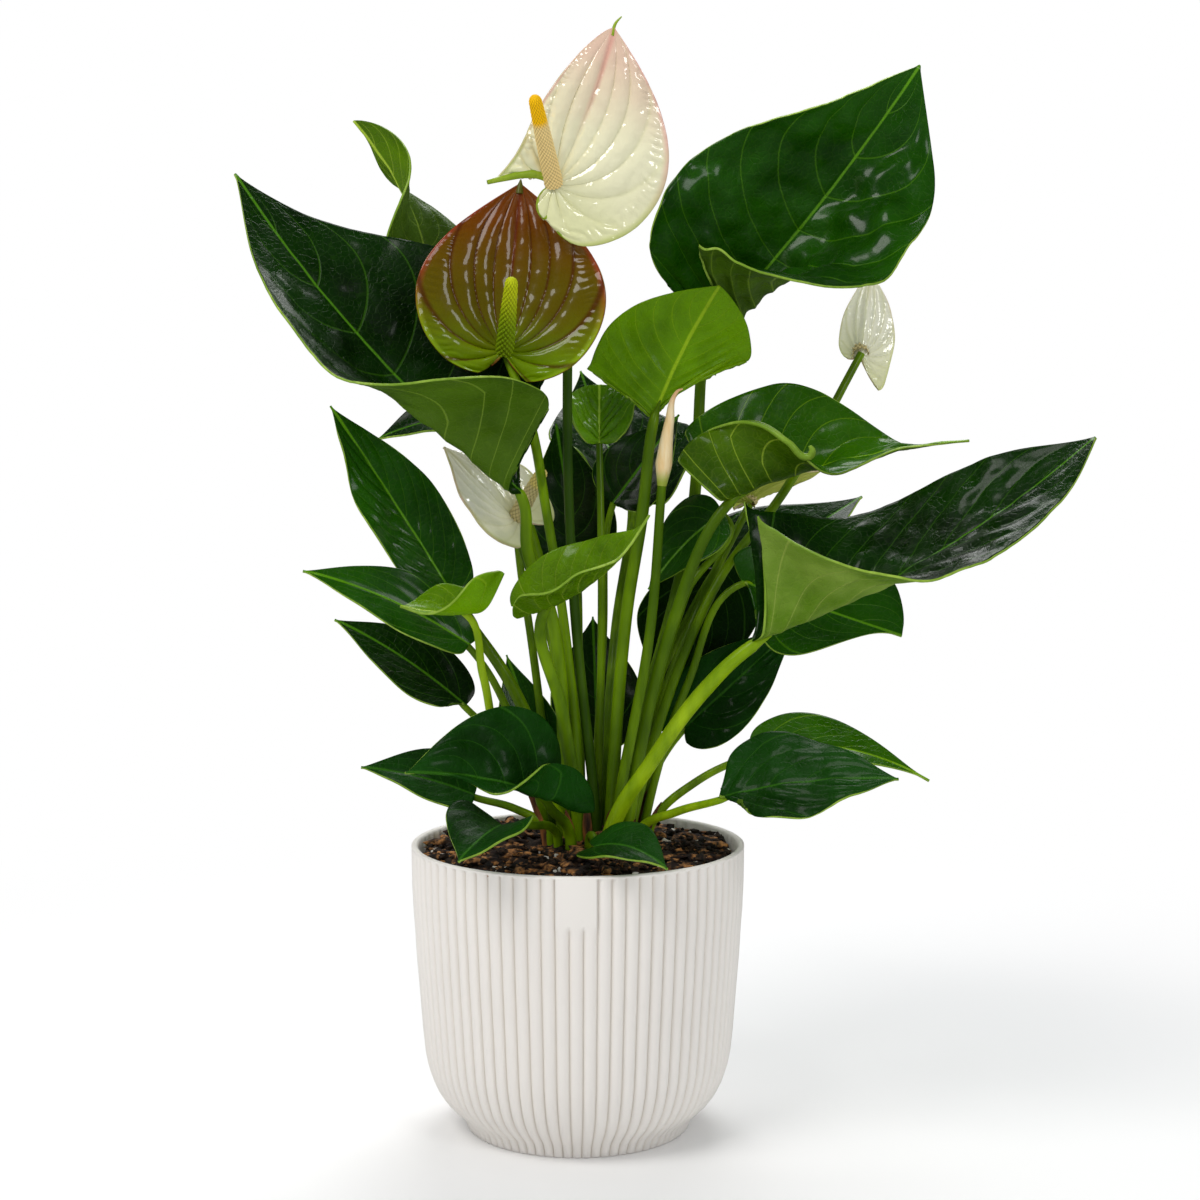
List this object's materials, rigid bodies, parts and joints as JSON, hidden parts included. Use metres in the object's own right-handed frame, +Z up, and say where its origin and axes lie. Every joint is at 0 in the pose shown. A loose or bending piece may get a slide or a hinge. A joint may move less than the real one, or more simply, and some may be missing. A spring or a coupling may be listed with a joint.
{
  "type": "potted anthurium",
  "caption": "Flowering anthurium with heart-shaped leaves, white and bronze spathes and a bud, growing in a ribbed round pot with a bare panel at the front.",
  "frame": {"origin": "centre of the pot's flat base", "axes": "+Z up along the pot's axis; -Y is the front, where the pot's bare panel faces; +X is to the viewer's right"},
  "size_m": [0.3441, 0.2293, 0.4572],
  "materials": {
    "pot_plastic": "matte, moulded, vertical ribs",
    "peat": "loose bark and peat",
    "sheath": "dry papery sheath",
    "dark_leaf": "glossy, waxy",
    "young_leaf": "satin, thin",
    "stalk_green": "satin",
    "spathe_white": "glossy, waxy, embossed veins",
    "spathe_bronze": "high gloss, embossed veins",
    "spadix_yellow": "fine bumps",
    "spadix_green": "fine bumps"
  },
  "bodies": {
    "root": {"bud": "spathe_white", "crown": "sheath", "flower_stem_bronze": "stalk_green", "flower_stem_bud": "stalk_green", "flower_stem_far_white": "stalk_green", "flower_stem_pale": "stalk_green", "flower_stem_side_white": "stalk_green", "flower_stem_white": "stalk_green", "leaf_back_high": "dark_leaf", "leaf_back_left_upper": "dark_leaf", "leaf_back_low": "dark_leaf", "leaf_back_right": "dark_leaf", "leaf_centre_back": "dark_leaf", "leaf_far_left": "dark_leaf", "leaf_front_boat": "young_leaf", "leaf_left_cup": "young_leaf", "leaf_left_inner": "dark_leaf", "leaf_left_low_back": "dark_leaf", "leaf_left_low_front": "dark_leaf", "leaf_left_lower": "dark_leaf", "leaf_left_lower_back": "dark_leaf", "leaf_left_middle": "dark_leaf", "leaf_left_upper": "dark_leaf", "leaf_middle_back": "dark_leaf", "leaf_middle_unfurling": "dark_leaf", "leaf_middle_young": "young_leaf", "leaf_right_dark": "dark_leaf", "leaf_right_inner": "dark_leaf", "leaf_right_inner_dark": "dark_leaf", "leaf_right_long": "dark_leaf", "leaf_right_low": "dark_leaf", "leaf_right_low_back": "dark_leaf", "leaf_right_middle": "dark_leaf", "leaf_right_under": "dark_leaf", "leaf_right_upper": "dark_leaf", "leaf_rim_front": "dark_leaf", "leaf_rim_left": "dark_leaf", "pot": "pot_plastic", "soil": "peat", "spadix_bronze": "spadix_green", "spadix_far_white": "spadix_yellow", "spadix_pale": "spadix_yellow", "spadix_side_white": "spadix_yellow", "spadix_white": "spadix_yellow", "spathe_bronze": "spathe_bronze", "spathe_far_white": "spathe_white", "spathe_pale": "spathe_white", "spathe_side_white": "spathe_white", "spathe_white": "spathe_white", "stem_back_high": "stalk_green", "stem_back_left_upper": "stalk_green", "stem_front_boat": "stalk_green", "stem_left_low_front": "stalk_green", "stem_left_middle": "stalk_green", "stem_left_upper": "stalk_green", "stem_middle_young": "stalk_green", "stem_right_long": "stalk_green", "stem_right_low": "stalk_green", "stem_right_middle": "stalk_green", "stem_right_upper": "stalk_green"}
  },
  "joints": []
}
